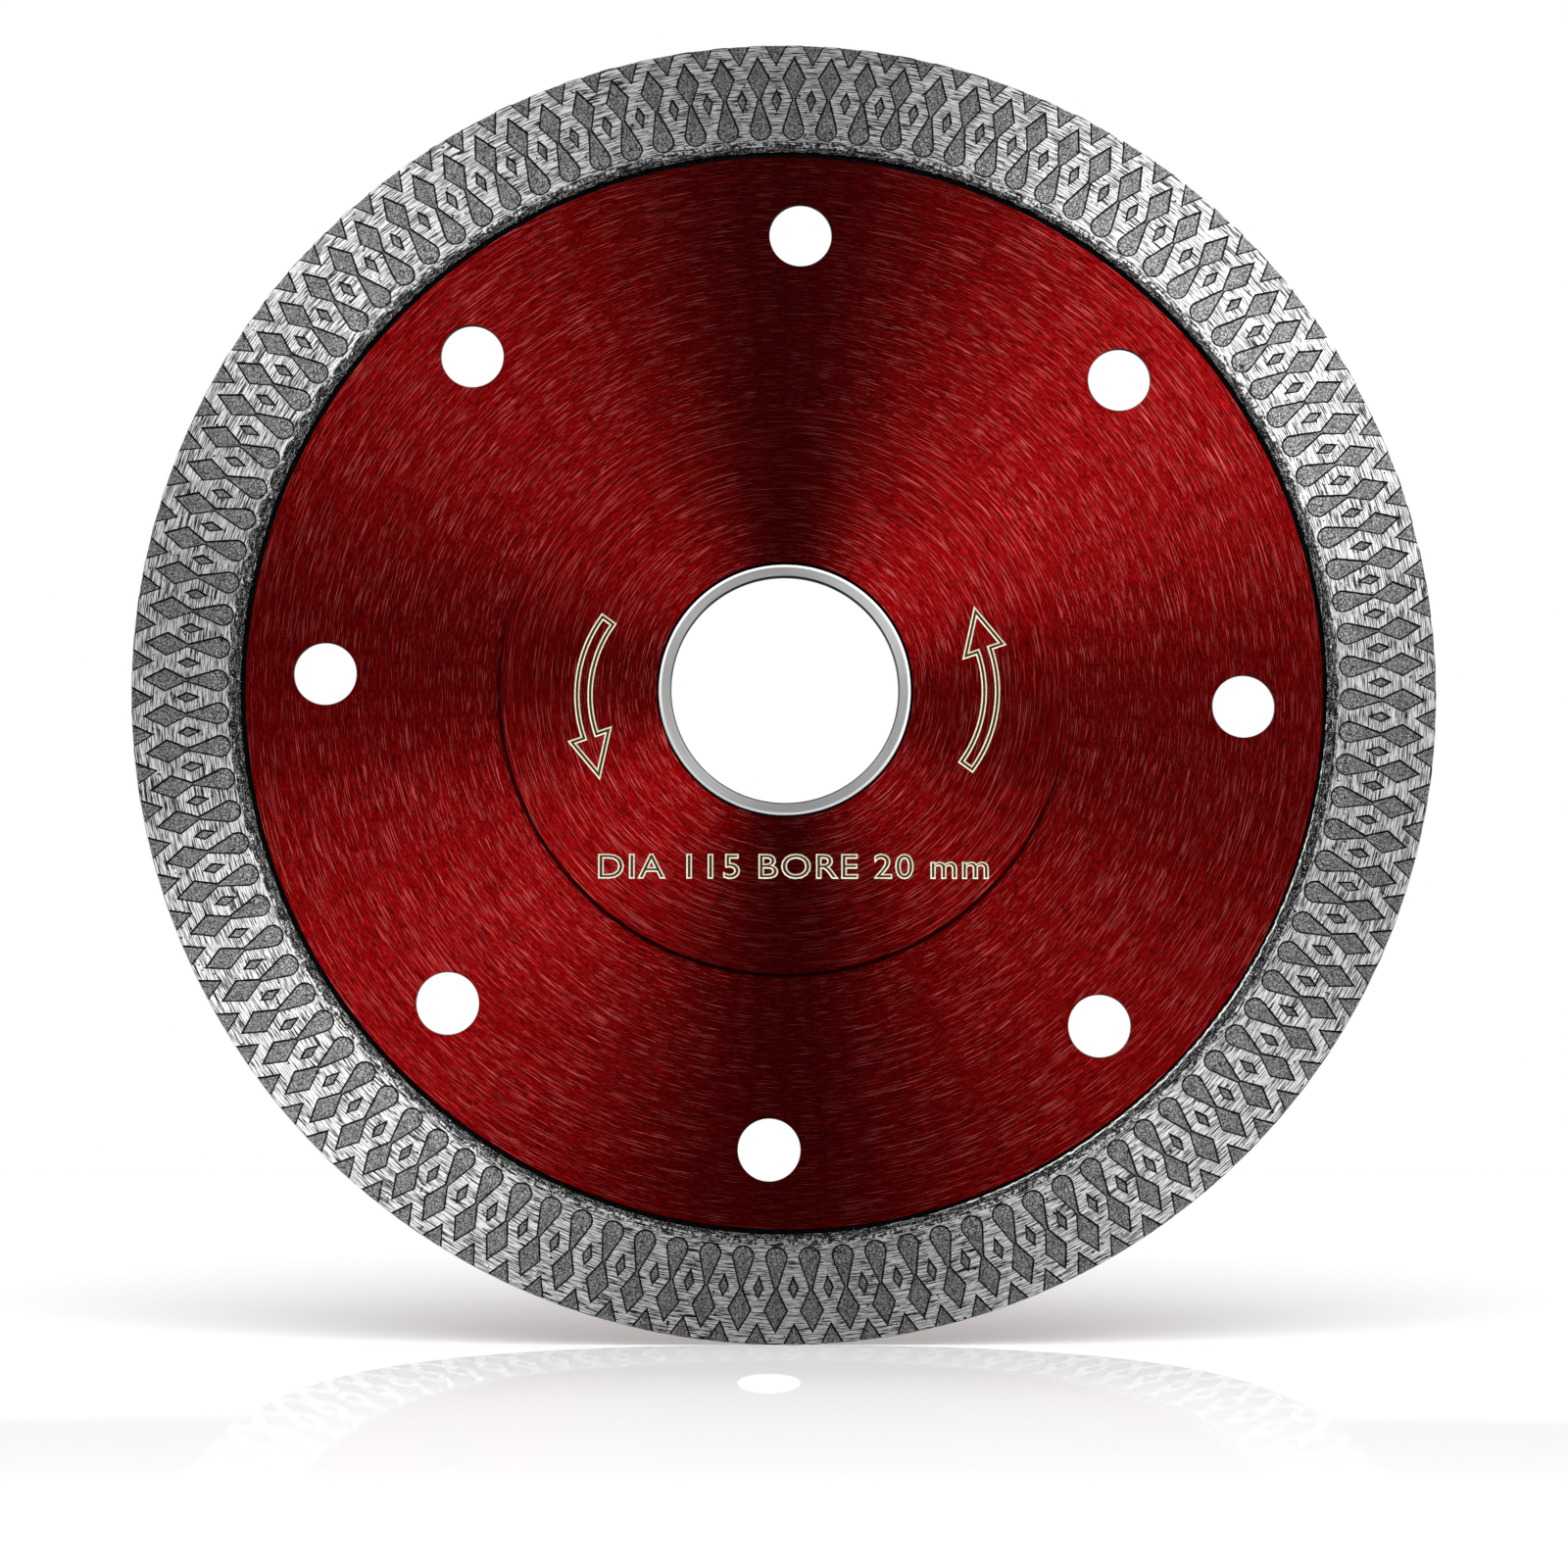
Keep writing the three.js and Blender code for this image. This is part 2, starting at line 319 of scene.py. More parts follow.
class FlatCell:
    """One cell of the rim's pattern, centred on a large pocket and laid flat as (angle, radius)."""

    HALF = PITCH / 2
    INNER_STEPS = 12

    def __init__(self):
        self.points = []
        self.depths = []
        self.edges = []
        self.add_whole(large_pocket())
        self.add_halves(small_pocket(), [0, 1, 2])
        self.add_halves(notch(), [0, 2])
        self.add_step()
        self.add_sides()
        self.add_inner_edge()
        self.add_outer_edge()
        self.triangulate()

    def add_path(self, points, depths):
        start = len(self.points)
        self.points += points
        self.depths += depths
        self.edges += [(start + i, start + i + 1) for i in range(len(points) - 1)]

    def add_from(self, centre, turn, path, depths):
        """A path of (radius, along) corners round a line at the angle centre."""
        points = [
            (centre + turn * math.atan2(along, radius), math.hypot(radius, along))
            for radius, along in path
        ]
        self.add_path(points, list(depths))

    def add_whole(self, outline):
        """A pocket on the cell's centre line."""
        corners = [*range(len(outline)), 0]
        for path, depths in pocket_levels(outline, corners):
            self.add_from(0.0, 1, path, depths)

    def add_halves(self, outline, corners):
        """A pocket on the line between two cells, of which each cell holds half."""
        for path, depths in pocket_levels(outline, corners):
            self.add_from(-self.HALF, 1, path, depths)
            self.add_from(self.HALF, -1, path, depths)

    def add_step(self):
        """The two lines across the funnel's floor where the core's edge shows through."""
        floor = inset(large_pocket(), WALL_INSIDE)
        for corner, depth in ((STEP_CORNER, POCKET_DEPTH), (STEP_CORNER + 1, ROUND_END_DEPTH)):
            self.add_from(0.0, 1, [floor[-corner], floor[corner]], [depth, depth])

    def add_sides(self):
        """The lines to the neighbouring cells, through the ends of the halved pockets."""
        placed = zip(self.points, self.depths)
        ends = {(round(r, 9), depth) for (a, r), depth in placed if abs(a - self.HALF) < SAME_ANGLE}
        ends |= {(BAY_RADIUS, 0.0), (RIM_EDGE_RADIUS, POCKET_DEPTH)}
        ends = sorted(ends)
        for angle in (-self.HALF, self.HALF):
            self.add_path([(angle, radius) for radius, _ in ends], [depth for _, depth in ends])

    def add_inner_edge(self):
        angles = [-self.HALF + PITCH * i / self.INNER_STEPS for i in range(self.INNER_STEPS + 1)]
        self.add_path([(angle, inner_edge_radius(angle)) for angle in angles], [0.0] * len(angles))

    def add_outer_edge(self):
        """The rim's edge. Its points also suit the other side, whose notches lie half a cell away."""
        placed = zip(self.points, self.depths)
        ends = {round(abs(a), 9): depth for (a, r), depth in placed if abs(r - RIM_EDGE_RADIUS) < SAME}
        others = [round(self.HALF - angle, 9) for angle in ends]
        too_close = 1e-3
        others = [other for other in others if min(abs(other - end) for end in ends) > too_close]
        positive = {**dict.fromkeys(others, POCKET_DEPTH), **ends, 0.0: 0.0}
        angles = sorted({*positive, *(-angle for angle in positive)})
        depths = [positive[abs(angle)] for angle in angles]
        self.add_path([(angle, RIM_EDGE_RADIUS) for angle in angles], depths)

    def triangulate(self):
        scale = (BLADE_RADIUS + RIM_INNER_RADIUS) / 2
        flat = [Vector((angle * scale, radius)) for angle, radius in self.points]
        _, _, triangles, origins, _, _ = delaunay_2d_cdt(flat, self.edges, [], 0, SAME)
        triangles = np.array([tuple(triangle) for triangle in triangles])
        self.angle = np.array([self.points[o[0]][0] for o in origins])
        self.radius = np.array([self.points[o[0]][1] for o in origins])
        self.depth = np.array([max(self.depths[i] for i in o) for o in origins])
        self.on_inner_edge = np.array([r == inner_edge_radius(a) for a, r in zip(self.angle, self.radius)])
        in_bay = self.on_inner_edge[triangles].all(axis=1)
        self.triangles = triangles[~in_bay]


def rim_side(cell, side, turn):
    """All cells of one side, as each point's angle, radius and depth, and the triangles."""
    on_right = np.abs(cell.angle - cell.HALF) < SAME_ANGLE
    on_left = np.flatnonzero(np.abs(cell.angle + cell.HALF) < SAME_ANGLE)
    kept = np.flatnonzero(~on_right)
    local = np.zeros(len(cell.angle), int)
    local[kept] = np.arange(len(kept))
    for i in np.flatnonzero(on_right):
        twin = on_left[np.argmin(np.abs(cell.radius[on_left] - cell.radius[i]))]
        local[i] = len(kept) + local[twin]
    total = CELLS * len(kept)
    turns = turn + PITCH * np.arange(CELLS)
    angle = (turns[:, None] + cell.angle[kept]).ravel()
    order = cell.triangles if side == REAR else cell.triangles[:, ::-1]
    starts = np.arange(CELLS)[:, None, None] * len(kept)
    triangles = (starts + local[order]).reshape(-1, 3) % total
    return angle, np.tile(cell.radius[kept], CELLS), np.tile(cell.depth[kept], CELLS), triangles


def in_order(angle, found):
    """The found points, in order round the blade."""
    clear_of_points = 1e-4
    return found[np.argsort((angle[found] + clear_of_points) % (2 * math.pi))]


def bridge(rows):
    """Quads between rows of points round the blade. They face the axis if the rows run front to rear."""
    quads = []
    for row, following in zip(rows, rows[1:]):
        quads += zip(row, np.roll(row, -1), np.roll(following, -1), following)
    return [tuple(int(i) for i in quad) for quad in quads]


def wobbled(points, amount):
    """Points moved in the plane of the face by a smooth seeded noise, as far as amount says at each."""
    moved = points.copy()
    for i in np.flatnonzero(amount > 0):
        place = Vector(points[i]) / WOBBLE_SIZE
        moved[i, 0] += amount[i] * noise.noise(place)
        moved[i, 2] += amount[i] * noise.noise(place + Vector((0, 20, 0)))
    return moved


class Points:
    """Blocks of points that are collected into one mesh."""

    def __init__(self):
        self.blocks = []
        self.count = 0

    def add(self, block):
        """Adds the points and returns their numbers."""
        self.blocks.append(block)
        self.count += len(block)
        return np.arange(self.count - len(block), self.count)

    def add_ring(self, radius, angles, y):
        """Adds points at the given angles, with one radius and y for all or one for each."""
        radius, y = np.broadcast_to(radius, angles.shape), np.broadcast_to(y, angles.shape)
        return self.add(np.stack(on_face(radius, angles, y), axis=1))

    def all(self):
        return np.concatenate(self.blocks)


def rim_face_kinds(corner_depths):
    """Rib top, pocket floor, round end or wall, by how deep each triangle's corners lie."""
    kinds = np.full(len(corner_depths), WALL_FACE)
    kinds[corner_depths.max(axis=1) < SAME] = RIB_FACE
    kinds[corner_depths.min(axis=1) > ROUND_END_DEPTH - SAME] = FLOOR_FACE
    kinds[np.abs(corner_depths - ROUND_END_DEPTH).max(axis=1) < SAME] = ROUND_END_FACE
    return kinds


def make_rim(materials):
    """The sintered ring, with pockets on both sides. The rear ones lie half a cell further round."""
    cell = FlatCell()
    on_inner_edge = np.tile(cell.on_inner_edge[cell.angle < cell.HALF - SAME_ANGLE], CELLS)
    points = Points()
    faces, kinds, outer_rows, inner_rows = [], [], [], []
    lip_drop, slot_half, slot_radius = 0.04, CORE_HALF + CORE_FACE_GAP, CORE_RADIUS + CORE_EDGE_GAP
    for side, turn in ((FRONT, CELL_TURN), (REAR, CELL_TURN + PITCH / 2)):
        angle, radius, depth, triangles = rim_side(cell, side, turn)
        radius[on_inner_edge] = ground_edge(angle[on_inner_edge], radius[on_inner_edge])
        block = np.stack(on_face(radius, angle, side * (RIM_HALF - depth)), axis=1)
        inside = np.minimum(RIM_EDGE_RADIUS - radius, radius - BAY_RADIUS)
        inside[on_inner_edge] = 0.0
        numbers = points.add(wobbled(block, WOBBLE * np.clip(inside / WOBBLE_SIZE, 0, 1)))
        faces += [tuple(face) for face in (triangles + numbers[0]).tolist()]
        kinds += rim_face_kinds(depth[triangles]).tolist()
        outer = in_order(angle, np.flatnonzero(np.abs(radius - RIM_EDGE_RADIUS) < SAME))
        outer_y = side * (RIM_HALF - EDGE_ROUND - depth[outer])
        outer_rows.append([numbers[outer], points.add_ring(BLADE_RADIUS, angle[outer], outer_y)])
        inner = in_order(angle, np.flatnonzero(on_inner_edge))
        lip_radius = radius[inner] - lip_drop
        rows = [numbers[inner]]
        rows.append(points.add_ring(lip_radius, angle[inner], side * (RIM_HALF - lip_drop)))
        rows.append(points.add_ring(lip_radius, angle[inner], side * slot_half))
        rows.append(points.add_ring(slot_radius, angle[inner], side * slot_half))
        inner_rows.append(rows)
    quads = [quad[::-1] for quad in bridge(outer_rows[0] + outer_rows[1][::-1])]
    quads += bridge(inner_rows[0] + inner_rows[1][::-1])
    kinds += [RIB_FACE] * len(quads)
    return make_object("mesh_turbo_rim", points.all(), faces + quads, materials, kinds)


# ---------------------------------------------------------------- core, flanges, bush and seams


def circle(radius, count, centre_radius=0.0, centre_angle=0.0):
    """Points (x, z) of a circle whose centre may lie away from the axis."""
    angles = round_angles(count)
    x = centre_radius * math.cos(centre_angle) + radius * np.cos(angles)
    z = centre_radius * math.sin(centre_angle) + radius * np.sin(angles)
    return np.stack([x, z], axis=1)


def winding(places, loops):
    """How many times the loops pass anticlockwise round each place."""
    turns = np.zeros(len(places), int)
    for loop in loops:
        for (x, z), (next_x, next_z) in zip(loop, np.roll(loop, -1, axis=0)):
            side = (next_x - x) * (places[:, 1] - z) - (next_z - z) * (places[:, 0] - x)
            turns += (z <= places[:, 1]) & (next_z > places[:, 1]) & (side > 0)
            turns -= (z > places[:, 1]) & (next_z <= places[:, 1]) & (side < 0)
    return turns


def fill(loops):
    """Points and triangles over the loops' whole area, with each loop's own point numbers."""
    edges = []
    for loop in loops:
        start = len(edges)
        edges += [(start + i, start + (i + 1) % len(loop)) for i in range(len(loop))]
    flat = [Vector(point) for loop in loops for point in loop]
    places, _, triangles, origins, _, _ = delaunay_2d_cdt(flat, edges, [], 0, SAME)
    number_of = {source: number for number, sources in enumerate(origins) for source in sources}
    numbers = []
    for loop in loops:
        start = sum(len(row) for row in numbers)
        numbers.append(np.array([number_of[start + i] for i in range(len(loop))]))
    return np.array([tuple(place) for place in places]), np.array([tuple(t) for t in triangles]), numbers


def upright(flat, y):
    """Points (x, z) put into the scene at one y or one for each."""
    return np.stack([flat[:, 0], np.broadcast_to(y, len(flat)), flat[:, 1]], axis=1)


def make_core(materials):
    """The steel blank: two flat faces with round holes, and a groove just inside the rim."""
    hole_segments = 96
    chamfer = SMALL_CHAMFER
    holes = [(BORE_RADIUS, 0.0, 0.0, ROUND_SEGMENTS)]
    for i in range(HOLE_COUNT):
        holes.append((HOLE_RADIUS, HOLE_CIRCLE, HOLE_TURN + i * 2 * math.pi / HOLE_COUNT, hole_segments))
    edge = circle(GROOVE_INNER - chamfer, ROUND_SEGMENTS)
    mouths = [circle(radius + chamfer, count, away, turn) for radius, away, turn, count in holes]
    flat, triangles, (edge_numbers, *mouth_numbers) = fill([edge, *mouths])
    solid = winding(flat[triangles].mean(axis=1), [edge, *[mouth[::-1] for mouth in mouths]]) > 0
    triangles = triangles[solid]

    points = Points()
    front, rear = points.add(upright(flat, -CORE_HALF)), points.add(upright(flat, CORE_HALF))
    faces = front[triangles].tolist() + rear[triangles[:, ::-1]].tolist()
    kinds = [LACQUER_FACE] * len(faces)
    for (radius, away, turn, count), mouth in zip(holes, mouth_numbers):
        wall = circle(radius, count, away, turn)
        rows = [front[mouth], points.add(upright(wall, chamfer - CORE_HALF))]
        rows += [points.add(upright(wall, CORE_HALF - chamfer)), rear[mouth]]
        faces += bridge(rows)
    kinds += [BARE_FACE] * (len(faces) - len(kinds))
    # The groove and the core's edge take the very dark painted shade
    angles = round_angles(ROUND_SEGMENTS)
    section = [
        (GROOVE_INNER, CORE_HALF - chamfer),
        (GROOVE_INNER, CORE_HALF - GROOVE_DEPTH),
        (GROOVE_OUTER, CORE_HALF - GROOVE_DEPTH),
        (GROOVE_OUTER, CORE_HALF),
        (CORE_RADIUS - chamfer, CORE_HALF),
        (CORE_RADIUS, CORE_HALF - chamfer),
    ]
    down = [points.add_ring(radius, angles, -y) for radius, y in section]
    back = [points.add_ring(radius, angles, y) for radius, y in reversed(section)]
    faces += [quad[::-1] for quad in bridge([front[edge_numbers], *down, *back, rear[edge_numbers]])]
    kinds += [GROOVE_FACE] * (len(faces) - len(kinds))
    return make_object("steel_core", points.all(), faces, materials, kinds)


def make_plain_flange(materials):
    """The rear flange: a disc with a chamfered edge and a countersunk bore."""
    section = [
        (BORE_RADIUS, FLANGE_SEAT),
        (FLANGE_RADIUS, FLANGE_SEAT),
        (FLANGE_RADIUS, FLANGE_FACE - FLANGE_CHAMFER),
        (FLANGE_RADIUS - FLANGE_CHAMFER, FLANGE_FACE),
        (BORE_RADIUS + BORE_CONE_WIDTH, FLANGE_FACE),
        (BORE_RADIUS, FLANGE_FACE - BORE_CONE_DEPTH),
    ]
    # The bore cone and the bore wall take the very dark painted shade
    kinds = [PLAIN_FACE] * (len(section) - 2) + [BORE_FACE] * 2
    return lathe("plain_flange_rear", section, materials, kinds)


def make_bush(materials):
    """The steel ring in the bore, with a square inner chamfer and a shallow outer one."""
    half = [
        (SPINDLE_RADIUS, BUSH_HALF - INNER_CHAMFER),
        (SPINDLE_RADIUS + INNER_CHAMFER, BUSH_HALF),
        (BUSH_RADIUS - OUTER_CHAMFER, BUSH_HALF),
        (BUSH_RADIUS, BUSH_HALF - OUTER_DROP),
    ]
    section = half[::-1] + [(radius, -y) for radius, y in half]
    # The outer chamfers take the near-white painted highlight
    kinds = [OUTER_CHAMFER_FACE, TURNED_FACE, INNER_CHAMFER_FACE, TURNED_FACE]
    kinds += [INNER_CHAMFER_FACE, TURNED_FACE, OUTER_CHAMFER_FACE, TURNED_FACE]
    return lathe("turned_reducing_ring", section, materials, kinds, sharp_angle=10)


def make_seam(name, side, materials):
    """The rough bead of bond metal inside the rim's edge. Part of it leans over the core's groove."""
    angles = CELL_TURN + round_angles(CELLS * BEAD_POINTS_PER_CELL)
    turn = CELL_TURN + (PITCH / 2 if side == REAR else 0.0)
    in_cell = (angles - turn + PITCH / 2) % PITCH - PITCH / 2
    outer = ground_edge(angles, np.array([inner_edge_radius(a) for a in in_cell])) - BEAD_RIM_GAP
    leaning = np.maximum(0, np.cos(angles - LEANING_SIDE)) ** 6
    inner = GROOVE_OUTER + BEAD_GROOVE_GAP - BEAD_OVERHANG * leaning
    seat = CORE_HALF + CORE_FACE_GAP
    points = Points()
    rows = []
    for step in range(BEAD_STEPS + 1):
        share = step / BEAD_STEPS
        # It rises from the groove to a crest just inside the rim
        height = BEAD_CREST * math.sin(math.pi * (0.1 + 0.5 * share)) ** 0.6
        row = []
        for angle, start, end in zip(angles, inner, outer):
            x, _, z = on_face(start + (end - start) * share, angle, 0)
            rough = noise.fractal(Vector((x, side * 9.0, z)) / LUMP_SIZE, 1.0, 2.0, 3)
            ragged = noise.noise(Vector((x, side * 5.0, z)) / RAGGED_SIZE)
            away = 1 + (RAGGED_SHARE * ragged if share < 1 else 0.0)
            rise = max(BEAD_LEAST_HEIGHT, height * (1 + 0.5 * rough))
            y = min(seat + rise, RIM_HALF - BEAD_BELOW_RIM)
            row.append((x * away, side * y, z * away))
        rows.append(points.add(np.array(row)))
    rows.append(points.add_ring(outer, angles, side * seat))
    rows.append(points.add_ring(inner + BEAD_UNDERCUT, angles, side * seat))
    faces = bridge([*rows, rows[0]])
    if side == FRONT:
        faces = [face[::-1] for face in faces]
    return make_object(name, points.all(), faces, materials, sharp_angle=50)


# ---------------------------------------------------------------- etched marks


def arrow_outline(turn):
    """The centre line of an outlined arrow that bends round the bore, as (x, z) corners, anticlockwise."""
    bend_centre, bend_radius, half_width = np.array([-6.75, -0.2]), 11.2, 0.58
    wing, tip_shift = 1.7, 0.9
    tail, neck, tip = math.radians(144), math.radians(199), math.radians(215.5)
    steps = 16
    turns = [tail + (neck - tail) * i / steps for i in range(steps + 1)]
    corners = [(bend_radius + half_width, angle) for angle in turns]
    corners += [(bend_radius + wing, neck), (bend_radius + tip_shift, tip), (bend_radius - wing, neck)]
    corners += [(bend_radius - half_width, angle) for angle in reversed(turns)]
    points = np.array([(r * math.cos(a), r * math.sin(a)) for r, a in corners]) + bend_centre
    across, up = np.array([math.cos(turn), -math.sin(turn)]), np.array([math.sin(turn), math.cos(turn)])
    return np.stack([points @ across, points @ up], axis=1) + MARKS_CENTRE


def letter_outlines():
    """The outlines of the size marking, as (x, z) points, with the ink on their left."""
    curve = bpy.data.curves.new("size_marking", "FONT")
    curve.body = TEXT
    curve.space_character = 1.12
    curve.resolution_u = 4
    curve.fill_mode = "NONE"
    source = bpy.data.objects.new("size_marking", curve)
    bpy.context.scene.collection.objects.link(source)
    bpy.context.view_layer.update()
    mesh = bpy.data.meshes.new_from_object(source.evaluated_get(bpy.context.evaluated_depsgraph_get()))
    bpy.data.objects.remove(source)
    drawn = np.array([vertex.co[:2] for vertex in mesh.vertices])
    low, high = drawn.min(axis=0), drawn.max(axis=0)
    corner = np.array([TEXT_LEFT + LETTER_SPREAD, TEXT_BASE + LETTER_SPREAD])
    size = np.array([TEXT_RIGHT - LETTER_SPREAD, TEXT_TOP - LETTER_SPREAD]) - corner
    drawn = corner + (drawn - low) * size / (high - low)
    ends = [edge.vertices[:] for edge in mesh.edges if edge.vertices[0] > edge.vertices[1]]
    outlines = [drawn[first : last + 1] for last, first in ends]
    bpy.data.meshes.remove(mesh)
    x, z = np.concatenate(outlines).T
    after_x, after_z = np.concatenate([np.roll(outline, -1, axis=0) for outline in outlines]).T
    clockwise = np.sum(x * after_z - after_x * z) < 0
    return [outline[::-1] for outline in outlines] if clockwise else outlines


def etched_loops():
    """Where the marks' sloping walls start on the face, and where they reach the bottom."""
    tops = []
    bottoms = []
    lines = [(outline, LETTER_SPREAD) for outline in letter_outlines()]
    for turn in (0.0, math.pi):
        arrow = arrow_outline(turn)
        lines += [(arrow, ETCH_HALF_WIDTH), (arrow[::-1], ETCH_HALF_WIDTH)]
    for line, spread in lines:
        tops.append(inset(line, -spread))
        bottoms.append(inset(line, ETCH_WALL - spread))
    return tops, bottoms


def make_etched_flange(materials):
    """The front flange, whose face carries the arrows and the size marking."""
    edge = circle(FLANGE_RADIUS - FLANGE_CHAMFER, ROUND_SEGMENTS)
    mouth = circle(BORE_RADIUS + BORE_CONE_WIDTH, ROUND_SEGMENTS)
    tops, bottoms = etched_loops()
    flat, triangles, (edge_numbers, mouth_numbers, *_) = fill([edge, mouth, *tops, *bottoms])
    centres = flat[triangles].mean(axis=1)
    solid = winding(centres, [edge, mouth[::-1]]) > 0
    kinds = np.where(winding(centres, tops) > 0, ETCH_WALL_FACE, PLAIN_FACE)
    kinds[winding(centres, bottoms) > 0] = ETCH_FLOOR_FACE
    triangles, kinds = triangles[solid], kinds[solid]
    depth = np.full(len(flat), ETCH_DEPTH / 2)
    depth[triangles[kinds == ETCH_FLOOR_FACE]] = ETCH_DEPTH
    depth[triangles[kinds == PLAIN_FACE]] = 0.0

    points = Points()
    front = points.add(upright(flat, depth - FLANGE_FACE))
    faces = front[triangles].tolist()
    angles = round_angles(ROUND_SEGMENTS)
    section = [
        (FLANGE_RADIUS, FLANGE_CHAMFER - FLANGE_FACE),
        (FLANGE_RADIUS, -FLANGE_SEAT),
        (BORE_RADIUS, -FLANGE_SEAT),
        (BORE_RADIUS, BORE_CONE_DEPTH - FLANGE_FACE),
    ]
    rings = [points.add_ring(radius, angles, y) for radius, y in section]
    quads = bridge([front[edge_numbers], *rings, front[mouth_numbers]])
    faces += [quad[::-1] for quad in quads]
    # The bore wall and the bore cone take the very dark painted shade
    in_bore = 2 * ROUND_SEGMENTS
    kinds = kinds.tolist() + [PLAIN_FACE] * (len(quads) - in_bore) + [BORE_FACE] * in_bore
    return make_object("etched_flange_front", points.all(), faces, materials, kinds, sharp_angle=10)


# ---------------------------------------------------------------- materials


class Nodes:
    """Short calls for the nodes of a tree."""

    def __init__(self, tree):
        self.tree = tree

    def put(self, socket, value):
        if isinstance(value, bpy.types.NodeSocket):
            self.tree.links.new(value, socket)
        else:
            socket.default_value = value

    def node(self, kind, settings, inputs):
        node = self.tree.nodes.new(kind)
        for name, value in settings.items():
            setattr(node, name, value)
        for name, value in inputs.items():
            self.put(node.inputs[name], value)
        return node

    def math(self, operation, *values):
        return self.node("ShaderNodeMath", {"operation": operation}, dict(enumerate(values))).outputs[0]


class Shader(Nodes):
    """A new material."""

    def __init__(self, name):
        self.material = bpy.data.materials.new(name)
        self.material.use_nodes = True
        super().__init__(self.material.node_tree)
        self.surface = self.tree.nodes["Principled BSDF"]
        coordinates = self.tree.nodes.new("ShaderNodeTexCoord").outputs["Object"]
        self.mm = self.vector("MULTIPLY", coordinates, (1 / MM,) * 3)

    def vector(self, operation, *values):
        node = self.node("ShaderNodeVectorMath", {"operation": operation}, dict(enumerate(values)))
        return node.outputs["Value" if operation in ("LENGTH", "DOT_PRODUCT") else "Vector"]

    def noise(self, place, detail=2.0, roughness=0.5, distortion=0.0):
        inputs = {
            "Vector": place,
            "Scale": 1.0,
            "Detail": detail,
            "Roughness": roughness,
            "Distortion": distortion,
        }
        return self.node("ShaderNodeTexNoise", {}, inputs).outputs["Fac"]

    def cracks(self, place):
        """The distance from the edge of irregular cells."""
        settings = {"feature": "DISTANCE_TO_EDGE"}
        inputs = {"Vector": place, "Scale": 1.0}
        return self.node("ShaderNodeTexVoronoi", settings, inputs).outputs["Distance"]

    def scaled(self, amount, shift=0.0):
        """Object coordinates in units of 1 / amount mm."""
        moved = self.vector("MULTIPLY", self.mm, (amount,) * 3)
        return self.vector("ADD", moved, (shift,) * 3)

    def flat(self):
        """Object coordinates in mm with Y left out."""
        return self.vector("MULTIPLY", self.mm, (1.0, 0.0, 1.0))

    def round_streaks(self, per_turn, per_mm, shift=0.0):
        """Coordinates that stretch a noise along circles round the spin axis."""
        flat = self.flat()
        outwards = self.vector("MULTIPLY", self.vector("NORMALIZE", flat), (per_turn,) * 3)
        radius = self.math("MULTIPLY", self.vector("LENGTH", flat), per_mm)
        height = self.node("ShaderNodeCombineXYZ", {}, {"Y": radius}).outputs[0]
        return self.vector("ADD", self.vector("ADD", outwards, height), (shift,) * 3)

    def ramp(self, value, *stops):
        """Maps a value to colours or greys, given as (position, colour) stops."""
        node = self.node("ShaderNodeValToRGB", {}, {"Fac": value})
        elements = node.color_ramp.elements
        while len(elements) < len(stops):
            elements.new(0.5)
        for element, (position, colour) in zip(elements, stops):
            element.position = position
            grey = isinstance(colour, (int, float))
            element.color = (colour, colour, colour, 1) if grey else (*colour, 1)
        return node.outputs["Color"]

    def mix(self, share, first, second, blend="MIX"):
        node = self.node("ShaderNodeMix", {"data_type": "RGBA", "blend_type": blend}, {"Factor": share})
        self.put(node.inputs[6], first)
        self.put(node.inputs[7], second)
        return node.outputs[2]

    def bump(self, height, depth_mm):
        inputs = {"Height": height, "Distance": depth_mm * MM}
        return self.node("ShaderNodeBump", {}, inputs).outputs["Normal"]

    def finish(self, **sockets):
        """Sets the surface's sockets, named with _ for a space, and gives the material."""
        for name, value in sockets.items():
            self.put(self.surface.inputs[name.replace("_", " ")], value)
        return self.material

    def brushed_round(self):
        """Makes highlights spread across scratches that run round the spin axis."""
        tangent = self.node("ShaderNodeTangent", {"direction_type": "RADIAL", "axis": "Y"}, {})
        self.put(self.surface.inputs["Tangent"], tangent.outputs[0])
        self.put(self.surface.inputs["Anisotropic Rotation"], 0.25)


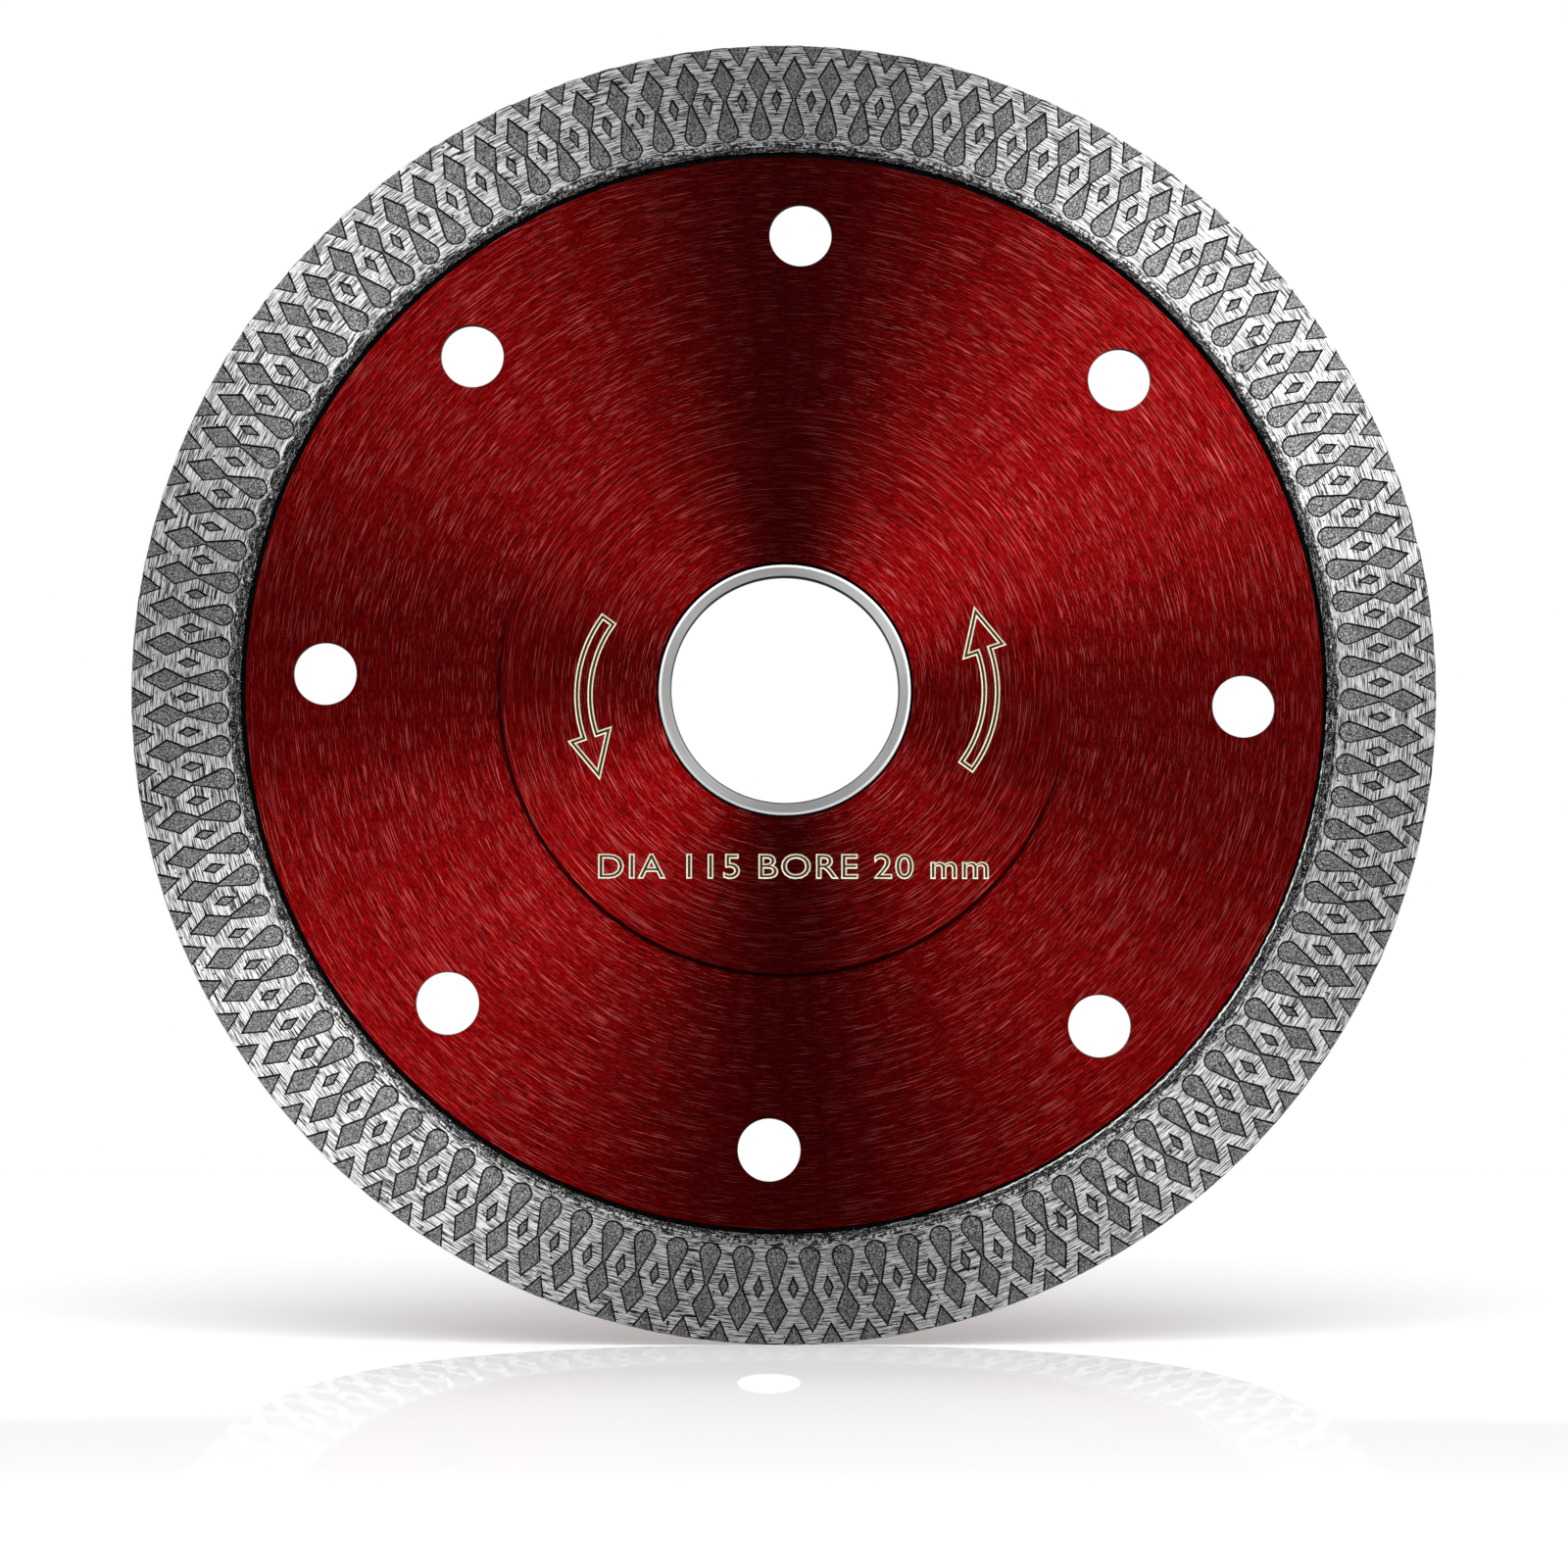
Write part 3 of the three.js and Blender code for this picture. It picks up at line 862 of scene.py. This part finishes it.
def red_lacquer(name, streaks):
    """Clear red lacquer over steel brushed in circles. streaks scales their number to the piece's size."""
    shader = Shader(name)
    fine = shader.noise(shader.round_streaks(90.0 * streaks, 14.0), detail=2.0, roughness=0.6)
    broad = shader.noise(shader.round_streaks(10.0 * streaks, 2.5, 7.0), detail=2.0)
    long_lines = shader.noise(shader.round_streaks(12.0 * streaks, 38.0, 31.0), detail=1.0)
    short_lines = shader.noise(shader.round_streaks(26.0 * streaks, 34.0, 73.0), detail=1.0)
    dark_lines = shader.noise(shader.round_streaks(20.0 * streaks, 14.0, 57.0), detail=1.0)
    stops = (0.34, (0.07, 0.0004, 0.001)), (0.5, (0.22, 0.001, 0.002)), (0.66, (0.42, 0.005, 0.006))
    tone = shader.ramp(fine, *stops)
    tone = shader.mix(1.0, tone, shader.ramp(broad, (0.3, 0.75), (0.7, 1.0)), "MULTIPLY")
    tone = shader.mix(1.0, tone, shader.ramp(dark_lines, (0.32, 0.35), (0.4, 1.0)), "MULTIPLY")
    faint_scratch, bright_scratch = (0.8, 0.05, 0.05, 1), (0.95, 0.22, 0.2, 1)
    colour = shader.mix(shader.ramp(short_lines, (0.65, 0.0), (0.69, 0.4)), tone, faint_scratch)
    colour = shader.mix(shader.ramp(long_lines, (0.67, 0.0), (0.7, 1.0)), colour, bright_scratch)
    shader.brushed_round()
    return shader.finish(
        Base_Color=colour,
        Metallic=1.0,
        Roughness=0.5,
        Anisotropic=0.985,
        Normal=shader.bump(fine, 0.002),
        Coat_Weight=0.03,
        Coat_Roughness=0.3,
    )


def rib_metal():
    """Sintered metal ground flat, with short scratches and small pits, and crumbling at its inner edge."""
    shader = Shader("ground_sintered_metal")
    fine = shader.noise(shader.round_streaks(36.0, 13.0), detail=2.0, roughness=0.6)
    scores = shader.noise(shader.round_streaks(28.0, 12.0, 17.0), detail=1.0)
    pits = shader.noise(shader.scaled(2.6, 3.0), detail=1.0)
    tone = shader.ramp(fine, (0.42, 0.015), (0.465, 0.6), (0.52, 1.0))
    tone = shader.mix(1.0, tone, shader.ramp(scores, (0.37, 0.05), (0.42, 1.0)), "MULTIPLY")
    tone = shader.mix(1.0, tone, shader.ramp(pits, (0.25, 0.03), (0.3, 1.0)), "MULTIPLY")
    crumbs = shader.noise(shader.scaled(4.0, 12.0), detail=3.0, roughness=0.6)
    crumbled = shader.mix(1.0, tone, shader.ramp(crumbs, (0.46, 0.08), (0.52, 1.0)), "MULTIPLY")
    from_inner_edge = shader.math("SUBTRACT", shader.vector("LENGTH", shader.flat()), RIM_INNER_RADIUS)
    by_inner_edge = shader.ramp(from_inner_edge, (0.45, 1.0), (0.75, 0.0))
    shader.brushed_round()
    return shader.finish(
        Base_Color=shader.mix(by_inner_edge, tone, crumbled),
        Metallic=0.8,
        Roughness=0.5,
        Anisotropic=0.95,
        Normal=shader.bump(fine, 0.004),
    )


def moulded_metal(name, shift, greys, crazing_grey):
    """As-moulded bond metal, grainy, with darker crazing."""
    shader = Shader(name)
    grain = shader.noise(shader.scaled(7.0, shift), detail=3.0, roughness=0.6)
    patches = shader.noise(shader.scaled(1.6, shift), detail=2.0)
    crazing = shader.cracks(shader.scaled(2.6, shift))
    tone = shader.ramp(grain, *zip((0.38, 0.5, 0.62), greys))
    tone = shader.mix(1.0, tone, shader.ramp(patches, (0.3, 0.7), (0.7, 1.0)), "MULTIPLY")
    colour = shader.mix(1.0, tone, shader.ramp(crazing, (0.015, crazing_grey), (0.08, 1.0)), "MULTIPLY")
    shader.brushed_round()
    return shader.finish(
        Base_Color=colour,
        Metallic=0.8,
        Roughness=0.5,
        Anisotropic=0.9,
        Normal=shader.bump(grain, 0.01),
    )


def pocket_wall():
    """The pocket walls, painted very dark as shade where the steep walls fall into shadow."""
    shader = Shader("pocket_wall_painted_shade")
    grain = shader.noise(shader.scaled(6.0, 2.0), detail=3.0)
    return shader.finish(
        Base_Color=shader.ramp(grain, (0.4, 0.002), (0.75, 0.03)),
        Roughness=0.9,
        Specular_IOR_Level=0.1,
    )


def seam_metal():
    """Bond metal squeezed out beside the rim, dark and layered, with bright flakes."""
    shader = Shader("rough_bond_bead")
    layers = shader.noise(shader.round_streaks(60.0, 9.0), detail=4.0, roughness=0.7, distortion=0.6)
    flakes = shader.noise(shader.scaled(8.0, 8.0), detail=3.0, roughness=0.6)
    ragged = shader.noise(shader.round_streaks(90.0, 2.0, 5.0), detail=3.0)
    flat = shader.flat()
    radius = shader.vector("LENGTH", flat)
    leaning_side = (math.cos(LEANING_SIDE), 0.0, math.sin(LEANING_SIDE))
    towards_it = shader.vector("DOT_PRODUCT", shader.vector("NORMALIZE", flat), leaning_side)
    across = shader.math("SUBTRACT", radius, GROOVE_OUTER - 0.2)
    across = shader.math("ADD", across, shader.math("MULTIPLY", shader.math("SUBTRACT", ragged, 0.5), 0.4))
    ridge = shader.ramp(across, (0.05, 0.0), (0.08, 1.0), (0.17, 1.0), (0.21, 0.0))
    ridge = shader.mix(1.0, ridge, shader.ramp(towards_it, (0.7, 0.3), (0.9, 0.95)), "MULTIPLY")
    dark = shader.ramp(layers, (0.47, 0.004), (0.55, 0.015), (0.6, 0.3))
    dark = shader.mix(shader.ramp(flakes, (0.61, 0.0), (0.64, 1.0)), dark, (0.75, 0.75, 0.75, 1))
    bright = shader.ramp(layers, (0.4, 0.1), (0.47, 1.0))
    shader.brushed_round()
    return shader.finish(
        Base_Color=shader.mix(ridge, dark, bright),
        Metallic=0.8,
        Roughness=0.5,
        Anisotropic=0.85,
        Normal=shader.bump(layers, 0.015),
    )


def recess_painted_shade():
    """Painted shade: very dark paint in the groove beside the rim and on the flanges' bore cones and walls,
    where these recesses fall into shadow.
    """
    shader = Shader("recess_painted_shade")
    grain = shader.noise(shader.scaled(5.0, 4.0), detail=3.0)
    return shader.finish(
        Base_Color=shader.ramp(grain, (0.4, 0.001), (0.8, 0.006)),
        Roughness=0.9,
        Specular_IOR_Level=0.0,
    )


def etched_wall():
    """The pale cream edge that a laser leaves where it lifts the lacquer, with a very dark painted shade
    line along its top.
    """
    shader = Shader("etched_edge_cream")
    grain = shader.noise(shader.scaled(8.0, 1.0), detail=3.0)
    height = shader.node("ShaderNodeSeparateXYZ", {}, {"Vector": shader.mm}).outputs["Y"]
    depth = shader.math("DIVIDE", shader.math("ADD", height, FLANGE_FACE), ETCH_DEPTH)
    depth = shader.math("ADD", depth, shader.math("MULTIPLY", grain, 0.3))
    cream = shader.ramp(grain, (0.3, (0.74, 0.64, 0.43)), (0.6, (0.97, 0.9, 0.7)))
    # Painted shade: the top of each wall turns very dark, as a shadow line round the marks
    painted_shade_line = shader.ramp(depth, (0.32, 1.0), (0.42, 0.0))
    return shader.finish(
        Base_Color=shader.mix(painted_shade_line, cream, (0.01, 0.004, 0.003, 1)),
        Roughness=0.7,
    )


def etched_floor():
    """Scorched steel at the bottom of an etched line."""
    shader = Shader("etched_bottom_brown")
    grain = shader.noise(shader.scaled(8.0, 6.0), detail=3.0)
    return shader.finish(
        Base_Color=shader.ramp(grain, (0.35, (0.012, 0.006, 0.002)), (0.7, (0.11, 0.065, 0.025))),
        Roughness=0.8,
        Specular_IOR_Level=0.1,
    )


def chamfer_highlight():
    """The bush's outer chamfers, painted near-white as a highlight so that they show bright all round."""
    shader = Shader("chamfer_painted_highlight")
    marks = shader.noise(shader.round_streaks(6.0, 14.0), detail=2.0)
    return shader.finish(
        Base_Color=shader.ramp(marks, (0.3, 0.9), (0.7, 1.0)),
        Metallic=0.1,
        Roughness=0.4,
    )


def turned_steel(name, roughness, darkest, lightest):
    """Bare steel with fine turning marks round the axis."""
    shader = Shader(name)
    marks = shader.noise(shader.round_streaks(3.0, 14.0), detail=2.0)
    shader.brushed_round()
    return shader.finish(
        Base_Color=shader.ramp(marks, (0.3, darkest), (0.7, lightest)),
        Metallic=1.0,
        Roughness=roughness,
        Anisotropic=0.5,
        Normal=shader.bump(marks, 0.003),
    )


# ---------------------------------------------------------------- the blade


def add_pieces():
    core_lacquer = red_lacquer("core_red_lacquer", 1.0)
    flange_lacquer = red_lacquer("flange_red_lacquer", 0.4)
    # Very dark paint that stands in for shade in the groove and the flanges' bores
    recess_shade = recess_painted_shade()
    hole_steel = turned_steel("hole_wall_steel", 0.45, 0.05, 0.12)
    bush_steel = turned_steel("turned_bush_steel", 0.45, 0.42, 0.54)
    floor_metal = moulded_metal("moulded_bond_metal", 0.0, (0.04, 0.3, 0.58), 0.4)
    round_end = moulded_metal("crazed_bond_metal", 9.0, (0.06, 0.36, 0.75), 0.04)
    # The pocket walls take a very dark painted shade
    rim = make_rim([rib_metal(), floor_metal, round_end, pocket_wall()])
    core = make_core([core_lacquer, hole_steel, recess_shade])
    bead = seam_metal()
    seams = [
        make_seam("bond_bead_front", FRONT, [bead]),
        make_seam("bond_bead_rear", REAR, [bead]),
    ]
    flange_front = make_etched_flange([flange_lacquer, recess_shade, etched_wall(), etched_floor()])
    flange_rear = make_plain_flange([flange_lacquer, recess_shade])
    bush = make_bush([bush_steel, chamfer_highlight(), hole_steel])

    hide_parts("diamond_rim")
    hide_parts("core")
    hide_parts("bond_seam_front")
    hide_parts("bond_seam_rear")
    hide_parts("flange_front")
    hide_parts("flange_rear")
    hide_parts("reducing_bush")
    for piece in (rim, core, *seams, flange_front, flange_rear):
        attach(piece, "blade")
    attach(bush, "bush")
    return [rim, core, *seams, flange_front, flange_rear, bush]


# ---------------------------------------------------------------- floor, lights and camera


def add_floor():
    """A pale, faintly glossy floor that rises gently behind the blade."""
    lines = [(-FLOOR_REACH, 0.0), (RISE_START, 0.0)]
    for i in range(1, RISE_STEPS + 1):
        share = i / RISE_STEPS
        lines.append((RISE_START + (RISE_END - RISE_START) * share, RISE * share))
    lines.append((FLOOR_REACH, RISE))
    low = cad_low.z / MM
    points = [(x, y, low + z) for y, z in lines for x in (-FLOOR_REACH, FLOOR_REACH)]
    faces = [(2 * i, 2 * i + 1, 2 * i + 3, 2 * i + 2) for i in range(len(lines) - 1)]
    shader = Shader("pale_floor")
    floor = make_object("pale_floor", points, faces, [shader.material], sharp_angle=60)
    diffuse = shader.node("ShaderNodeBsdfDiffuse", {}, {"Color": (0.85, 0.85, 0.85, 1)})
    gloss = shader.node("ShaderNodeBsdfGlossy", {}, {"Color": (1, 1, 1, 1), "Roughness": 0.02})
    along = shader.node("ShaderNodeSeparateXYZ", {}, {"Vector": shader.mm}).outputs["Y"]
    near = shader.math("DIVIDE", shader.math("ADD", along, GLOSS_REACH), GLOSS_REACH)
    share = shader.ramp(near, *GLOSS_STOPS)
    facing = shader.node("ShaderNodeLayerWeight", {}, {"Blend": 0.5}).outputs["Facing"]
    share = shader.math("MULTIPLY", share, shader.math("POWER", facing, GLOSS_FALLOFF))
    both = shader.node("ShaderNodeMixShader", {}, {0: share, 1: diffuse.outputs[0], 2: gloss.outputs[0]})
    shader.put(shader.tree.nodes["Material Output"].inputs["Surface"], both.outputs[0])
    floor.visible_glossy = False
    floor.visible_diffuse = False
    return floor


def new_light(name, kind, energy, targets):
    """A light that shines on the targets only."""
    data = bpy.data.lights.new(name, kind)
    data.energy = energy
    light = bpy.data.objects.new(name, data)
    bpy.context.scene.collection.objects.link(light)
    receivers = bpy.data.collections.new(name + "_receivers")
    for target in targets:
        receivers.objects.link(target)
    light.light_linking.receiver_collection = receivers
    return light


def add_light(name, place, power, side, targets):
    """A soft square light that faces the blade's centre."""
    light = new_light(name, "AREA", power, targets)
    light.data.size = side
    light.location = place
    light.rotation_euler = (-Vector(place)).to_track_quat("-Z", "Y").to_euler()


def add_floor_sun(name, strength, spread, tilt, floor):
    """Very soft light on the floor, from above and in front."""
    light = new_light(name, "SUN", strength, [floor])
    light.data.angle = math.radians(spread)
    light.rotation_euler = (math.radians(tilt), 0, 0)


def add_world():
    """White to the camera and dim to the blade, with a low white band round the rear for the gloss."""
    world = bpy.data.worlds.new("studio")
    bpy.context.scene.world = world
    world.use_nodes = True
    nodes = Nodes(world.node_tree)
    coordinates = nodes.node("ShaderNodeTexCoord", {}, {}).outputs["Generated"]
    direction = nodes.node("ShaderNodeSeparateXYZ", {}, {0: coordinates}).outputs
    behind = nodes.math("GREATER_THAN", direction["Y"], BAND_START)
    low = nodes.math("LESS_THAN", nodes.math("ABSOLUTE", direction["Z"]), BAND_HALF_HEIGHT)
    white = nodes.math("MAXIMUM", nodes.math("MULTIPLY", behind, low), WORLD_DIM)
    seen = nodes.node("ShaderNodeLightPath", {}, {}).outputs["Is Camera Ray"]
    background = nodes.tree.nodes["Background"].inputs
    nodes.put(background["Color"], (1, 1, 1, 1))
    nodes.put(background["Strength"], nodes.math("MAXIMUM", white, seen))


def add_camera():
    data = bpy.data.cameras.new("camera")
    data.lens = LENS
    data.sensor_width = SENSOR
    camera = bpy.data.objects.new("camera", data)
    camera.location = [part * MM for part in CAMERA_PLACE]
    camera.rotation_euler = (math.radians(90 + CAMERA_UP), 0, math.radians(-CAMERA_RIGHT))
    bpy.context.scene.collection.objects.link(camera)
    bpy.context.scene.camera = camera


pieces = add_pieces()
floor = add_floor()
for blade_light in BLADE_LIGHTS:
    add_light(*blade_light, pieces)
for floor_sun in FLOOR_SUNS:
    add_floor_sun(*floor_sun, floor)
add_world()
add_camera()
bpy.context.scene.view_settings.view_transform = "Standard"
